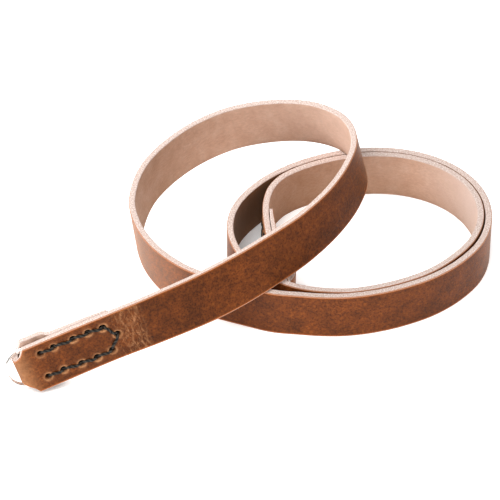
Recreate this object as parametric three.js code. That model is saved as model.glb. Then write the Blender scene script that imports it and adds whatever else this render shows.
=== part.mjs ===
// A camera neck strap: one long strip of thick leather, laid on its edge in two loops.
// Each end is folded back on itself round a split ring, flesh side to flesh side.
// Units are millimetres, +Z is up, and the strap stands on z = 0.

import * as THREE from "three";

// The strip
const STRAP_WIDTH = 20;
const STRAP_THICKNESS = 2.5;

// The lower coil, two turns of an oval that stands upright on its edge
const COIL_LONG = 103.8; // outside, along the oval's long way
const COIL_SHORT = 82.6; // outside, across it
const COIL_SKEW = 19; // degrees from +X to the oval's long way
const LAYER_GAP = 0.35; // air between the two turns where they touch

// The upper loop, which leans and passes over the coil
const LOOP_WIDTH = 90;
const LOOP_DEPTH = 90;
const LOOP_LEFT = 41.5; // from the coil's centre to the loop's, towards -X
const LOOP_BACK = 12; // and towards +Y

// The folded ends
const FOLD_LENGTH = 37.5; // from the shoulder back to the end of the folded layer
const CORNER_CUT = 4.5; // taken off that end's two corners, along the strap
const CORNER_INSET = 4.5; // and across it
const STRAIGHT_END = 10; // straight stretch next to each shoulder
const TIP_TURN = 592; // where on the coil's inner turn the second end points, in degrees
const TIP_HEADING = -77; // the way the second end points, in degrees from +X
const TIP_CLEARANCE = 0.5; // between its ring and the inner turn
const SHOULDER_TO_TIP = 5.1; // from the full width to the fold's outer face
const SHOULDER_CURVE = 2.2; // power of the hollow between shoulder and neck
const NECK_PLAY = 0.35; // between the neck and the inside of the ring
const STITCH_GAP = 0.25; // between the two layers where they are sewn
const POCKET_FADE = 4; // over which the pocket closes to the sewn stretch
const SKIVED_EDGE = 1.2; // thickness of the folded layer's thinned end

// The split rings
const RING_OUTER = 17;
const RING_WIRE = 1.4; // across the wire, in the ring's plane
const COIL_HEIGHT = 0.95; // of one of the ring's two turns
const COIL_SPLIT = 0.1; // between those turns
const RING_REACH = 4.6; // how far the ring stands out of the fold
const RING_PLAY = 0.5; // between the ring and the leather on each side
const JOG_ANGLE = 143; // degrees from the strip's inward way to the ring's step
const JOG_LENGTH = 40; // degrees of turn that the step takes
const JOG_PLAY = 5; // degrees left free at each tip of the wire

// Fineness
const STATION_STEP = 2.4;
const FOLD_STEPS = 10;
const RING_SEGMENTS = 16; // for a whole turn

// Lower edge of the upper loop's grain face, from the first shoulder to the coil.
// east and north are shares of the loop's half width and half depth from its centre,
// lift is a share of the strap's width. lean and back are the strip's tilt towards -X
// and +Y, in degrees.
const UPPER_ROUTE = [
  { east: -1.53, north: -1.869, lift: 0.205, lean: 19, back: 7 },
  { east: -1.107, north: -1.739, lift: 0.482, lean: 18.5, back: 6.5 },
  { east: -0.7, north: -1.614, lift: 0.7, lean: 17.6, back: 10.4 },
  { east: -0.302, north: -1.45, lift: 0.87, lean: 16, back: 15.2 },
  { east: -0.025, north: -1.301, lift: 1.002, lean: 15.5, back: 16.2 },
  { east: 0.22, north: -1.106, lift: 1.068, lean: 15, back: 14 },
  { east: 0.511, north: -0.825, lift: 1.115, lean: 14.5, back: 9 },
  { east: 0.764, north: -0.494, lift: 1.16, lean: 14, back: 6.5 },
  { east: 0.927, north: -0.165, lift: 1.175, lean: 13.7, back: 6.2 },
  { east: 1, north: 0.16, lift: 1.15, lean: 13.3, back: 5 },
  { east: 0.942, north: 0.485, lift: 1.1, lean: 12.7, back: 2 },
  { east: 0.771, north: 0.727, lift: 1.01, lean: 12.2, back: 0 },
  { east: 0.509, north: 0.902, lift: 0.86, lean: 11.6, back: 0 },
  { east: 0.151, north: 0.987, lift: 0.67, lean: 10.5, back: 0 },
  { east: -0.204, north: 0.962, lift: 0.49, lean: 9.8, back: 0 },
  { east: -0.578, north: 0.77, lift: 0.315, lean: 8.9, back: 0 },
  { east: -0.889, north: 0.4, lift: 0.18, lean: 8.2, back: 0 },
  { east: -1, north: -0.03, lift: 0.1, lean: 7.2, back: 0 },
  { east: -0.958, north: -0.33, lift: 0.06, lean: 5.6, back: 0 },
  { east: -0.844, north: -0.58, lift: 0.03, lean: 4, back: 0 },
  { east: -0.673, north: -0.789, lift: 0.01, lean: 2, back: 0 },
  { east: -0.48, north: -0.935, lift: 0, lean: 0.8, back: 0 },
];

// The coil's grain face from above: the turn in degrees, how far the strip strays from
// the oval as a share of its half short way, and how many layers lie outside it.
const COIL_ROUTE = [
  { turn: 222, stray: 0.19, layers: 0 },
  { turn: 231, stray: 0.13, layers: 0 },
  { turn: 241, stray: 0.067, layers: 0 },
  { turn: 251, stray: 0.041, layers: 0 },
  { turn: 263, stray: 0.025, layers: 0 },
  { turn: 278, stray: 0.008, layers: 0 },
  { turn: 295, stray: 0, layers: 0 },
  { turn: 312, stray: 0.005, layers: 0 },
  { turn: 329, stray: 0.01, layers: 0 },
  { turn: 345, stray: 0.018, layers: 0 },
  { turn: 360, stray: 0.008, layers: 0 },
  { turn: 375, stray: -0.002, layers: 0 },
  { turn: 390, stray: 0, layers: 0 },
  { turn: 406, stray: 0.012, layers: 0 },
  { turn: 423, stray: 0.024, layers: 0 },
  { turn: 441, stray: 0.026, layers: 0 },
  { turn: 460, stray: 0.018, layers: 0 },
  { turn: 478, stray: 0.013, layers: 0 },
  { turn: 495, stray: 0.017, layers: 0 },
  { turn: 510, stray: 0.02, layers: 0 },
  { turn: 525, stray: 0.024, layers: 0 },
  { turn: 537, stray: 0.018, layers: 0 },
  { turn: 549, stray: -0.002, layers: 0 },
  { turn: 563, stray: -0.024, layers: 0 },
  { turn: 577, stray: -0.03, layers: 0 },
  { turn: 592, stray: 0.036, layers: 1 },
  { turn: 602, stray: 0.034, layers: 1 },
  { turn: 611, stray: 0.027, layers: 1 },
  { turn: 623, stray: 0.024, layers: 1 },
  { turn: 638, stray: 0.008, layers: 1 },
  { turn: 655, stray: 0, layers: 1 },
  { turn: 672, stray: 0, layers: 1 },
  { turn: 689, stray: -0.005, layers: 1 },
  { turn: 705, stray: 0.002, layers: 1 },
  { turn: 720, stray: 0, layers: 1 },
  { turn: 735, stray: -0.003, layers: 1 },
  { turn: 750, stray: 0, layers: 1 },
  { turn: 766, stray: 0.012, layers: 1 },
  { turn: 783, stray: 0.024, layers: 1 },
  { turn: 801, stray: 0.026, layers: 1 },
  { turn: 820, stray: 0.018, layers: 1 },
  { turn: 838, stray: 0.013, layers: 1 },
  { turn: 851, stray: 0.012, layers: 1 },
  { turn: 861, stray: -0.003, layers: 1 },
  { turn: 871, stray: -0.05, layers: 1 },
  { turn: 880, stray: -0.115, layers: 1 },
  { turn: 890, stray: -0.19, layers: 1 },
  { turn: 900, stray: -0.252, layers: 1 },
  { turn: 910, stray: -0.283, layers: 1 },
  { turn: 920, stray: -0.276, layers: 1 },
];

const HALF_WIDTH = STRAP_WIDTH / 2;
const HALF_THICKNESS = STRAP_THICKNESS / 2;

const RING_RADIUS = RING_OUTER / 2;
const RING_BORE = RING_RADIUS - RING_WIRE;
const RING_HEIGHT = 2 * COIL_HEIGHT + COIL_SPLIT;
const RING_CENTRE = RING_RADIUS - RING_REACH - SHOULDER_TO_TIP; // from the shoulder, inwards

const POCKET_GAP = RING_HEIGHT + 2 * RING_PLAY;
const POCKET_LENGTH = RING_CENTRE + RING_RADIUS + RING_PLAY; // from the shoulder, inwards
const FOLD_RADIUS = (POCKET_GAP + STRAP_THICKNESS) / 2; // of the fold's middle line
const FOLD_START = FOLD_RADIUS + HALF_THICKNESS - SHOULDER_TO_TIP;
const SHOULDER_ROUND_FOLD = (FOLD_RADIUS * Math.PI) / 2 - FOLD_START;
const NECK_HALF = Math.sqrt(
  (RING_BORE * Math.cos(Math.PI / RING_SEGMENTS) - NECK_PLAY) ** 2 -
    (RING_RADIUS - RING_REACH) ** 2,
);

const radians = (degrees) => THREE.MathUtils.degToRad(degrees);

// Distance from the coil's centre to its outside in a given direction.
function ovalReach(turn) {
  const angle = radians(turn - COIL_SKEW);
  const long = COIL_LONG / 2;
  const short = COIL_SHORT / 2;
  return (long * short) / Math.hypot(short * Math.cos(angle), long * Math.sin(angle));
}

function coilReach(row) {
  const layerStep = STRAP_THICKNESS + LAYER_GAP;
  return ovalReach(row.turn) + (row.stray * COIL_SHORT) / 2 - row.layers * layerStep;
}

function coilPoint(row) {
  const reach = coilReach(row);
  const angle = radians(row.turn);
  return new THREE.Vector3(reach * Math.cos(angle), reach * Math.sin(angle), 0);
}

function upperPoint(row) {
  return new THREE.Vector3(
    -LOOP_LEFT + (row.east * LOOP_WIDTH) / 2,
    LOOP_BACK + (row.north * LOOP_DEPTH) / 2,
    row.lift * STRAP_WIDTH,
  );
}

// Three points in line: the inner end of a straight stretch, its middle and the shoulder.
function straightStretch(inner, heading) {
  return [0, 0.5, 1].map((share) =>
    inner.clone().addScaledVector(heading, share * STRAIGHT_END),
  );
}

// The second end points at the inside of the inner turn, and its ring stops short of it.
function secondEnd() {
  const wall = COIL_ROUTE.find((row) => row.turn === TIP_TURN);
  const reach = coilReach(wall) - STRAP_THICKNESS - TIP_CLEARANCE;
  const turn = radians(TIP_TURN);
  const heading = new THREE.Vector3(
    Math.cos(radians(TIP_HEADING)),
    Math.sin(radians(TIP_HEADING)),
    0,
  );
  const grainSide = new THREE.Vector3(heading.y, -heading.x, 0);
  const inner = new THREE.Vector3(reach * Math.cos(turn), reach * Math.sin(turn), 0)
    .addScaledVector(heading, -(RING_REACH + SHOULDER_TO_TIP + STRAIGHT_END))
    .addScaledVector(grainSide, STRAP_THICKNESS + POCKET_GAP / 2);
  return straightStretch(inner, heading);
}

// The lower edge of the grain face from shoulder to shoulder, with the tilt at each point.
function strapRoute() {
  const upper = UPPER_ROUTE.map(upperPoint);
  const coil = COIL_ROUTE.map(coilPoint);
  const outward = upper[0].clone().sub(upper[1]).normalize();
  const firstEnd = straightStretch(upper[0], outward).slice(1).reverse();
  const lastEnd = secondEnd();
  const upright = { lean: 0, back: 0 };
  return {
    curve: new THREE.CatmullRomCurve3([...firstEnd, ...upper, ...coil, ...lastEnd]),
    tilts: [
      ...firstEnd.map(() => UPPER_ROUTE[0]),
      ...UPPER_ROUTE,
      ...[...coil, ...lastEnd].map(() => upright),
    ],
  };
}

const route = strapRoute();
route.curve.arcLengthDivisions = 4000;
const STRAP_LENGTH = route.curve.getLength();

// The strip's tilt at a place on the route's curve, in radians.
function tiltAt(parameter) {
  const position = parameter * (route.tilts.length - 1);
  const index = Math.min(Math.floor(position), route.tilts.length - 2);
  const [before, after] = route.tilts.slice(index, index + 2);
  const blend = (name) =>
    radians(THREE.MathUtils.lerp(before[name], after[name], position - index));
  return { lean: blend("lean"), back: blend("back") };
}

// The strip's frame at a distance from the first shoulder: along it, across it upwards,
// and out of its grain face. Past a shoulder it goes straight on.
function frameAt(distance) {
  const inside = THREE.MathUtils.clamp(distance, 0, STRAP_LENGTH);
  const parameter = route.curve.getUtoTmapping(inside / STRAP_LENGTH);
  const along = route.curve.getTangent(parameter);
  const { lean, back } = tiltAt(parameter);
  const across = new THREE.Vector3(-Math.sin(lean), Math.sin(back), Math.cos(lean));
  across.addScaledVector(along, -across.dot(along)).normalize();
  const grain = new THREE.Vector3().crossVectors(along, across);
  const centre = route.curve
    .getPoint(parameter)
    .addScaledVector(along, distance - inside)
    .addScaledVector(across, HALF_WIDTH)
    .addScaledVector(grain, -HALF_THICKNESS);
  return { centre, along, across, grain };
}

// Half of the strip's width at a distance round the fold from its tip.
function halfWidth(fromTip) {
  const share = Math.min(1, fromTip / SHOULDER_ROUND_FOLD);
  return NECK_HALF + (HALF_WIDTH - NECK_HALF) * share ** SHOULDER_CURVE;
}

// Air between the folded layer and the strap, at a distance inwards from the shoulder.
function pocketGap(inwards) {
  const end = POCKET_LENGTH + POCKET_FADE;
  const closed = THREE.MathUtils.smoothstep(inwards, POCKET_LENGTH, end);
  return THREE.MathUtils.lerp(POCKET_GAP, STITCH_GAP, closed);
}

const widthAt = (inwards) =>
  halfWidth((FOLD_RADIUS * Math.PI) / 2 + inwards - FOLD_START);

// One end's distances from its shoulder, inwards: its frame, and the way to its tip.
function endFrame(end, inwards) {
  const distance = end === "first" ? inwards : STRAP_LENGTH - inwards;
  const frame = frameAt(distance);
  return { ...frame, outward: frame.along.clone().multiplyScalar(end === "first" ? -1 : 1) };
}

// Thickness of the folded layer, which is thinned evenly from the pocket to its end.
function foldedThickness(inwards) {
  const thinned = Math.max(0, inwards - POCKET_LENGTH) / (FOLD_LENGTH - POCKET_LENGTH);
  return THREE.MathUtils.lerp(STRAP_THICKNESS, SKIVED_EDGE, thinned);
}

// Half of the folded layer's width, whose end has both its corners cut off.
function foldedHalfWidth(inwards) {
  const cut = Math.max(0, inwards - FOLD_LENGTH + CORNER_CUT) / CORNER_CUT;
  return widthAt(inwards) - CORNER_INSET * cut;
}

// Cross-sections of the folded layer, from its cut end to the fold.
function foldedLayer(end) {
  const corner = FOLD_LENGTH - CORNER_CUT;
  const count = Math.ceil((corner - FOLD_START) / STATION_STEP);
  const stations = Array.from({ length: count + 1 }, (_, i) =>
    THREE.MathUtils.lerp(corner, FOLD_START, i / count),
  );
  return [FOLD_LENGTH, ...stations].map((inwards) => {
    const frame = endFrame(end, inwards);
    const thickness = foldedThickness(inwards);
    const depth = (STRAP_THICKNESS + thickness) / 2 + pocketGap(inwards);
    return {
      centre: frame.centre.addScaledVector(frame.grain, -depth),
      across: frame.across,
      grain: frame.grain.clone().negate(),
      half: foldedHalfWidth(inwards),
      thickness,
    };
  });
}

// Cross-sections of the fold itself, half a turn from the folded layer to the front.
function foldBend(end) {
  const frame = endFrame(end, FOLD_START);
  const axis = frame.centre.clone().addScaledVector(frame.grain, -FOLD_RADIUS);
  return Array.from({ length: FOLD_STEPS - 1 }, (_, i) => {
    const angle = (Math.PI * (i + 1)) / FOLD_STEPS - Math.PI / 2;
    const grain = frame.outward
      .clone()
      .multiplyScalar(Math.cos(angle))
      .addScaledVector(frame.grain, Math.sin(angle));
    return {
      centre: axis.clone().addScaledVector(grain, FOLD_RADIUS),
      across: frame.across,
      grain,
      half: halfWidth(FOLD_RADIUS * Math.abs(angle)),
      thickness: STRAP_THICKNESS,
    };
  });
}

// Cross-sections of the whole front layer, from fold to fold.
function frontLayer() {
  const length = STRAP_LENGTH - 2 * FOLD_START;
  const count = Math.ceil(length / STATION_STEP);
  return Array.from({ length: count + 1 }, (_, i) => {
    const distance = FOLD_START + (length * i) / count;
    const inwards = Math.min(distance, STRAP_LENGTH - distance);
    return {
      ...frameAt(distance),
      half: widthAt(inwards),
      thickness: STRAP_THICKNESS,
    };
  });
}

// A closed solid through rings of corners, each ring given clockwise as seen by
// someone who looks back along the way the rings go.
function sweptSolid(rings) {
  const sides = rings[0].length;
  const corner = (ring, side) => ring * sides + (side % sides);
  const indices = [];
  for (let ring = 0; ring < rings.length - 1; ring += 1) {
    for (let side = 0; side < sides; side += 1) {
      const [a, b] = [corner(ring, side), corner(ring, side + 1)];
      const [c, d] = [corner(ring + 1, side + 1), corner(ring + 1, side)];
      indices.push(a, c, b, a, d, c);
    }
  }
  const last = rings.length - 1;
  for (let side = 1; side < sides - 1; side += 1) {
    indices.push(corner(0, 0), corner(0, side), corner(0, side + 1));
    indices.push(corner(last, 0), corner(last, side + 1), corner(last, side));
  }
  const geometry = new THREE.BufferGeometry().setFromPoints(rings.flat());
  geometry.setIndex(indices);
  return geometry;
}

function stripCorners(section) {
  const corner = (acrossSign, grainSign) =>
    section.centre
      .clone()
      .addScaledVector(section.across, acrossSign * section.half)
      .addScaledVector(section.grain, (grainSign * section.thickness) / 2);
  return [corner(1, 1), corner(1, -1), corner(-1, -1), corner(-1, 1)];
}

function strapGeometry() {
  const secondFold = [...foldedLayer("second"), ...foldBend("second")].reverse();
  const sections = [
    ...foldedLayer("first"),
    ...foldBend("first"),
    ...frontLayer(),
    ...secondFold,
  ];
  return sweptSolid(sections.map(stripCorners));
}

// Corners of the ring's wire, six sides: share of its half breadth, of its half height.
const WIRE_SECTION = [
  { breadth: 1, height: 0 },
  { breadth: 0.6, height: 1 },
  { breadth: -0.6, height: 1 },
  { breadth: -1, height: 0 },
  { breadth: -0.6, height: -1 },
  { breadth: 0.6, height: -1 },
];

// A split ring round the z axis: a wire of two flat turns, joined by a short step.
function splitRingGeometry() {
  const turns = 720 - JOG_LENGTH - 2 * JOG_PLAY;
  const count = Math.round((turns / 360) * RING_SEGMENTS);
  const middle = RING_RADIUS - RING_WIRE / 2;
  const rise = (COIL_HEIGHT + COIL_SPLIT) / 2;
  const rings = Array.from({ length: count + 1 }, (_, i) => {
    const turn = JOG_PLAY + (turns * i) / count;
    const step = THREE.MathUtils.smoothstep(turn, 360 - JOG_LENGTH, 360);
    const height = THREE.MathUtils.lerp(-rise, rise, step);
    const angle = radians(turn);
    return WIRE_SECTION.map((corner) => {
      const reach = middle + (corner.breadth * RING_WIRE) / 2;
      return new THREE.Vector3(
        reach * Math.cos(angle),
        reach * Math.sin(angle),
        height + (corner.height * COIL_HEIGHT) / 2,
      );
    });
  });
  return sweptSolid(rings);
}

// The ring lies in the middle of the pocket, half of it round the neck.
function placeRing(mesh, end) {
  const frame = endFrame(end, RING_CENTRE);
  const inward = frame.outward.clone().negate();
  const facing = new THREE.Vector3().crossVectors(inward, frame.across);
  const jog = new THREE.Matrix4().makeRotationZ(radians(JOG_ANGLE));
  const middle = HALF_THICKNESS + POCKET_GAP / 2;
  mesh.position.copy(frame.centre).addScaledVector(frame.grain, -middle);
  const basis = new THREE.Matrix4().makeBasis(inward, frame.across, facing);
  mesh.quaternion.setFromRotationMatrix(basis.multiply(jog));
}

const leather = new THREE.MeshStandardMaterial({ color: 0x7a4426, roughness: 0.5 });
leather.name = "waxed vegetable-tanned leather";

function ringMetal() {
  const metal = new THREE.MeshStandardMaterial({
    color: 0xd9d8d6,
    roughness: 0.18,
    metalness: 1,
  });
  metal.name = "nickel-plated steel wire";
  return metal;
}

const strap = new THREE.Mesh(strapGeometry(), leather);
strap.name = "strap";

const rings = [
  { name: "ring_a", end: "first" },
  { name: "ring_b", end: "second" },
].map(({ name, end }) => {
  const ring = new THREE.Mesh(splitRingGeometry(), ringMetal());
  ring.name = name;
  placeRing(ring, end);
  return ring;
});

// The origin is under the middle of the whole strap, on the surface that it stands on.
const laidStrap = new THREE.Group();
laidStrap.add(strap, ...rings);
const box = new THREE.Box3().setFromObject(laidStrap, true);
const middle = box.getCenter(new THREE.Vector3());
laidStrap.position.set(-middle.x, -middle.y, -box.min.z);

const cameraStrap = new THREE.Group();
cameraStrap.add(laidStrap);
export default cameraStrap;
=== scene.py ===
# %% [markdown]
# # A leather camera neck strap
# One strip of thick waxed leather stands on its edge in two loops. Each end is folded
# back on itself round a split ring and sewn with dark waxed thread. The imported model
# gives the place of everything; this script rebuilds its soft piece with fine detail.

import bpy
import numpy as np
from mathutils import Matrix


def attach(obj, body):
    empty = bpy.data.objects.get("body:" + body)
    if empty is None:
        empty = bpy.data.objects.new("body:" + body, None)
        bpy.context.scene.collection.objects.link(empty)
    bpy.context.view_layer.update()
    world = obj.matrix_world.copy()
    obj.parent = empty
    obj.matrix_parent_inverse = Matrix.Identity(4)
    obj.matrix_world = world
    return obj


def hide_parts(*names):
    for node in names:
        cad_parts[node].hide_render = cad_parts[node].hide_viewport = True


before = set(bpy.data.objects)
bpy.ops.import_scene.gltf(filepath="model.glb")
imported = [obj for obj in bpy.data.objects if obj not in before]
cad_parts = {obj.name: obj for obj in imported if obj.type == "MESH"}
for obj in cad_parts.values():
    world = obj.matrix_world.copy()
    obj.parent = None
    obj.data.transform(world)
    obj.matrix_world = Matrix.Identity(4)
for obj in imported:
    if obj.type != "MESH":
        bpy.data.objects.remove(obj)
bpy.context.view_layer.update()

# %% [markdown]
# ## Sizes
# The leather's route is written once, in millimetres, with the same sizes as the packed
# model. Working in millimetres keeps the numbers those of a workbench; one factor at the
# end turns them to Blender's metres.

# %% Driving sizes, in millimetres
MM = 0.001
STRAP_WIDTH = 20
STRAP_THICKNESS = 2.5
COIL_LONG = 103.8
COIL_SHORT = 82.6
COIL_SKEW = 19  # degrees from +X to the oval's long way
LAYER_GAP = 0.35
LOOP_WIDTH = 90
LOOP_DEPTH = 90
LOOP_LEFT = 41.5
LOOP_BACK = 12
FOLD_LENGTH = 37.5
CORNER_CUT = 4.5
CORNER_INSET = 4.5
STRAIGHT_END = 10
TIP_TURN = 592
TIP_HEADING = -77
TIP_CLEARANCE = 0.5
SHOULDER_TO_TIP = 5.1
SHOULDER_CURVE = 2.2
NECK_PLAY = 0.35
STITCH_GAP = 0.25
POCKET_FADE = 4
SKIVED_EDGE = 1.2
RING_OUTER = 17
RING_WIRE = 1.4
COIL_HEIGHT = 0.95
COIL_SPLIT = 0.1
RING_REACH = 4.6
RING_PLAY = 0.5
JOG_ANGLE = 143
JOG_LENGTH = 40
JOG_PLAY = 5
RING_FACETS = 16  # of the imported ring, whose flats set the neck's width

# The coil's centre in the row's frame.
COIL_CENTRE = np.array([41.013, 9.2, 0.024])

RING_RADIUS = RING_OUTER / 2
RING_HEIGHT = 2 * COIL_HEIGHT + COIL_SPLIT
RING_CENTRE = RING_RADIUS - RING_REACH - SHOULDER_TO_TIP
POCKET_GAP = RING_HEIGHT + 2 * RING_PLAY
POCKET_LENGTH = RING_CENTRE + RING_RADIUS + RING_PLAY
FOLD_RADIUS = (POCKET_GAP + STRAP_THICKNESS) / 2
FOLD_START = FOLD_RADIUS + STRAP_THICKNESS / 2 - SHOULDER_TO_TIP
SHOULDER_ROUND_FOLD = FOLD_RADIUS * np.pi / 2 - FOLD_START
RING_FLAT = (RING_RADIUS - RING_WIRE) * np.cos(np.pi / RING_FACETS) - NECK_PLAY
NECK_HALF = np.sqrt(RING_FLAT**2 - (RING_RADIUS - RING_REACH) ** 2)
print("neck width:", round(2 * NECK_HALF, 2), "mm")

# %% Route tables
# The upper loop: shares of the loop's half width and half depth, of the strap's width,
# and the tilt towards -X and +Y in degrees.
UPPER_ROUTE = np.array(
    [
        (-1.53, -1.869, 0.205, 19, 7),
        (-1.107, -1.739, 0.482, 18.5, 6.5),
        (-0.7, -1.614, 0.7, 17.6, 10.4),
        (-0.302, -1.45, 0.87, 16, 15.2),
        (-0.025, -1.301, 1.002, 15.5, 16.2),
        (0.22, -1.106, 1.068, 15, 14),
        (0.511, -0.825, 1.115, 14.5, 9),
        (0.764, -0.494, 1.16, 14, 6.5),
        (0.927, -0.165, 1.175, 13.7, 6.2),
        (1, 0.16, 1.15, 13.3, 5),
        (0.942, 0.485, 1.1, 12.7, 2),
        (0.771, 0.727, 1.01, 12.2, 0),
        (0.509, 0.902, 0.86, 11.6, 0),
        (0.151, 0.987, 0.67, 10.5, 0),
        (-0.204, 0.962, 0.49, 9.8, 0),
        (-0.578, 0.77, 0.315, 8.9, 0),
        (-0.889, 0.4, 0.18, 8.2, 0),
        (-1, -0.03, 0.1, 7.2, 0),
        (-0.958, -0.33, 0.06, 5.6, 0),
        (-0.844, -0.58, 0.03, 4, 0),
        (-0.673, -0.789, 0.01, 2, 0),
        (-0.48, -0.935, 0, 0.8, 0),
    ],
    dtype=[(n, float) for n in ("east", "north", "lift", "lean", "back")],
)

# The coil: turn in degrees, stray from the oval as a share of its half short way, and
# how many layers lie outside.
COIL_ROUTE = np.array(
    [
        (222, 0.19, 0),
        (231, 0.13, 0),
        (241, 0.067, 0),
        (251, 0.041, 0),
        (263, 0.025, 0),
        (278, 0.008, 0),
        (295, 0, 0),
        (312, 0.005, 0),
        (329, 0.01, 0),
        (345, 0.018, 0),
        (360, 0.008, 0),
        (375, -0.002, 0),
        (390, 0, 0),
        (406, 0.012, 0),
        (423, 0.024, 0),
        (441, 0.026, 0),
        (460, 0.018, 0),
        (478, 0.013, 0),
        (495, 0.017, 0),
        (510, 0.02, 0),
        (525, 0.024, 0),
        (537, 0.018, 0),
        (549, -0.002, 0),
        (563, -0.024, 0),
        (577, -0.03, 0),
        (592, 0.036, 1),
        (602, 0.034, 1),
        (611, 0.027, 1),
        (623, 0.024, 1),
        (638, 0.008, 1),
        (655, 0, 1),
        (672, 0, 1),
        (689, -0.005, 1),
        (705, 0.002, 1),
        (720, 0, 1),
        (735, -0.003, 1),
        (750, 0, 1),
        (766, 0.012, 1),
        (783, 0.024, 1),
        (801, 0.026, 1),
        (820, 0.018, 1),
        (838, 0.013, 1),
        (851, 0.012, 1),
        (861, -0.003, 1),
        (871, -0.05, 1),
        (880, -0.115, 1),
        (890, -0.19, 1),
        (900, -0.252, 1),
        (910, -0.283, 1),
        (920, -0.276, 1),
    ],
    dtype=[(n, float) for n in ("turn", "stray", "layers")],
)
print("route rows:", len(UPPER_ROUTE), "+", len(COIL_ROUTE))

# %% [markdown]
# ## The leather's route
# A strap is easiest to think of as a line with a frame that travels along it: where it
# is, which way it runs, which way its width points and which way its grain face looks.
# A smooth curve through the table's points gives the line, and cross products give the
# rest, so that every later piece can be placed by its distance along the leather.


# %% Curve through the table's points
def unit(vectors):
    """Each vector divided by its own length."""
    return vectors / np.linalg.norm(vectors, axis=-1, keepdims=True)


def distance_along(points):
    """Length of the broken line from its first point to each of its points."""
    hops = np.linalg.norm(np.diff(points, axis=0), axis=1)
    return np.concatenate([[0], np.cumsum(hops)])


def coil_points(rows):
    """Polar points: the oval's radius at each turn, plus the stray, minus the layers."""
    angle = np.radians(rows["turn"] - COIL_SKEW)
    long, short = COIL_LONG / 2, COIL_SHORT / 2
    oval = long * short / np.hypot(short * np.cos(angle), long * np.sin(angle))
    reach = oval + rows["stray"] * short - rows["layers"] * (STRAP_THICKNESS + LAYER_GAP)
    turn = np.radians(rows["turn"])
    points = np.stack([reach * np.cos(turn), reach * np.sin(turn), 0 * turn], 1)
    return points, reach


def upper_points(rows):
    """The loop's centre plus each share times the loop's half size."""
    return np.stack(
        [
            -LOOP_LEFT + rows["east"] * LOOP_WIDTH / 2,
            LOOP_BACK + rows["north"] * LOOP_DEPTH / 2,
            rows["lift"] * STRAP_WIDTH,
        ],
        1,
    )


def route_rows():
    """All route points, with a straight stretch at each end, and their tilts."""
    upper = upper_points(UPPER_ROUTE)
    coil, reach = coil_points(COIL_ROUTE)
    shares = np.array([0, 0.5, 1])[:, None] * STRAIGHT_END
    first = upper[0] + shares * unit(upper[0] - upper[1])
    row = int(np.flatnonzero(COIL_ROUTE["turn"] == TIP_TURN)[0])
    turn, way = np.radians([TIP_TURN, TIP_HEADING])
    heading = np.array([np.cos(way), np.sin(way), 0])
    side = np.array([heading[1], -heading[0], 0])
    inner = (reach[row] - STRAP_THICKNESS - TIP_CLEARANCE) * np.array(
        [np.cos(turn), np.sin(turn), 0]
    )
    inner = inner - heading * (RING_REACH + SHOULDER_TO_TIP + STRAIGHT_END)
    inner = inner + side * (STRAP_THICKNESS + POCKET_GAP / 2)
    last = inner + shares * heading
    points = np.concatenate([first[:0:-1], upper, coil, last])
    tilts = np.stack([UPPER_ROUTE["lean"], UPPER_ROUTE["back"]], 1)
    upright = np.zeros((len(coil) + 3, 2))
    tilts = np.radians(np.concatenate([tilts[:1], tilts[:1], tilts, upright]))
    return points, tilts


def smooth_curve(points, parameter):
    """Centripetal Catmull-Rom curve: between two points it is a cubic whose end slopes
    come from their neighbours, each step weighted by the root of its length."""
    ends = 2 * points[[0, -1]] - points[[1, -2]]
    padded = np.concatenate([ends[:1], points, ends[1:]])
    index = np.clip(parameter.astype(int), 0, len(points) - 2)
    t = (parameter - index)[:, None]
    p0, p1, p2, p3 = (padded[index + k] for k in range(4))
    hops = ((p0, p1), (p1, p2), (p2, p3))
    d0, d1, d2 = (np.linalg.norm(b - a, axis=1, keepdims=True) ** 0.5 for a, b in hops)
    m1 = d1 * ((p1 - p0) / d0 - (p2 - p0) / (d0 + d1) + (p2 - p1) / d1)
    m2 = d1 * ((p2 - p1) / d1 - (p3 - p1) / (d1 + d2) + (p3 - p2) / d2)
    cubic = 2 * p1 - 2 * p2 + m1 + m2
    square = -3 * p1 + 3 * p2 - 2 * m1 - m2
    place = ((cubic * t + square) * t + m1) * t + p1
    slope = (3 * cubic * t + 2 * square) * t + m1
    return place, unit(slope)


ROUTE_POINTS, ROUTE_TILTS = route_rows()
WALK_STEPS = 12000
WALK = np.linspace(0, len(ROUTE_POINTS) - 1, WALK_STEPS + 1)
WALKED = distance_along(smooth_curve(ROUTE_POINTS, WALK)[0])
STRAP_LENGTH = WALKED[-1]
print("leather between the shoulders:", round(STRAP_LENGTH, 1), "mm")


# %% Travelling frame
def frame_at(distance):
    """Centre, direction, width direction and grain normal at distances from the first
    shoulder. The width direction is the tilted upright made square to the direction,
    and the grain normal is direction x width. Past a shoulder the strap goes straight."""
    distance = np.asarray(distance, float)
    inside = np.clip(distance, 0, STRAP_LENGTH)
    parameter = np.interp(inside, WALKED, WALK)
    place, along = smooth_curve(ROUTE_POINTS, parameter)
    rows = np.arange(len(ROUTE_TILTS))
    lean, back = (np.interp(parameter, rows, ROUTE_TILTS[:, k]) for k in (0, 1))
    across = np.stack([-np.sin(lean), np.sin(back), np.cos(lean)], 1)
    across = unit(across - along * (across * along).sum(1, keepdims=True))
    grain = np.cross(along, across)
    centre = place + along * (distance - inside)[:, None] + COIL_CENTRE
    centre = centre + across * STRAP_WIDTH / 2 - grain * STRAP_THICKNESS / 2
    return centre, along, across, grain


def smoothstep(value, low, high):
    """0 below low, 1 above high, and 3t^2 - 2t^3 between them."""
    t = np.clip((value - low) / (high - low), 0, 1)
    return t * t * (3 - 2 * t)


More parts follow.
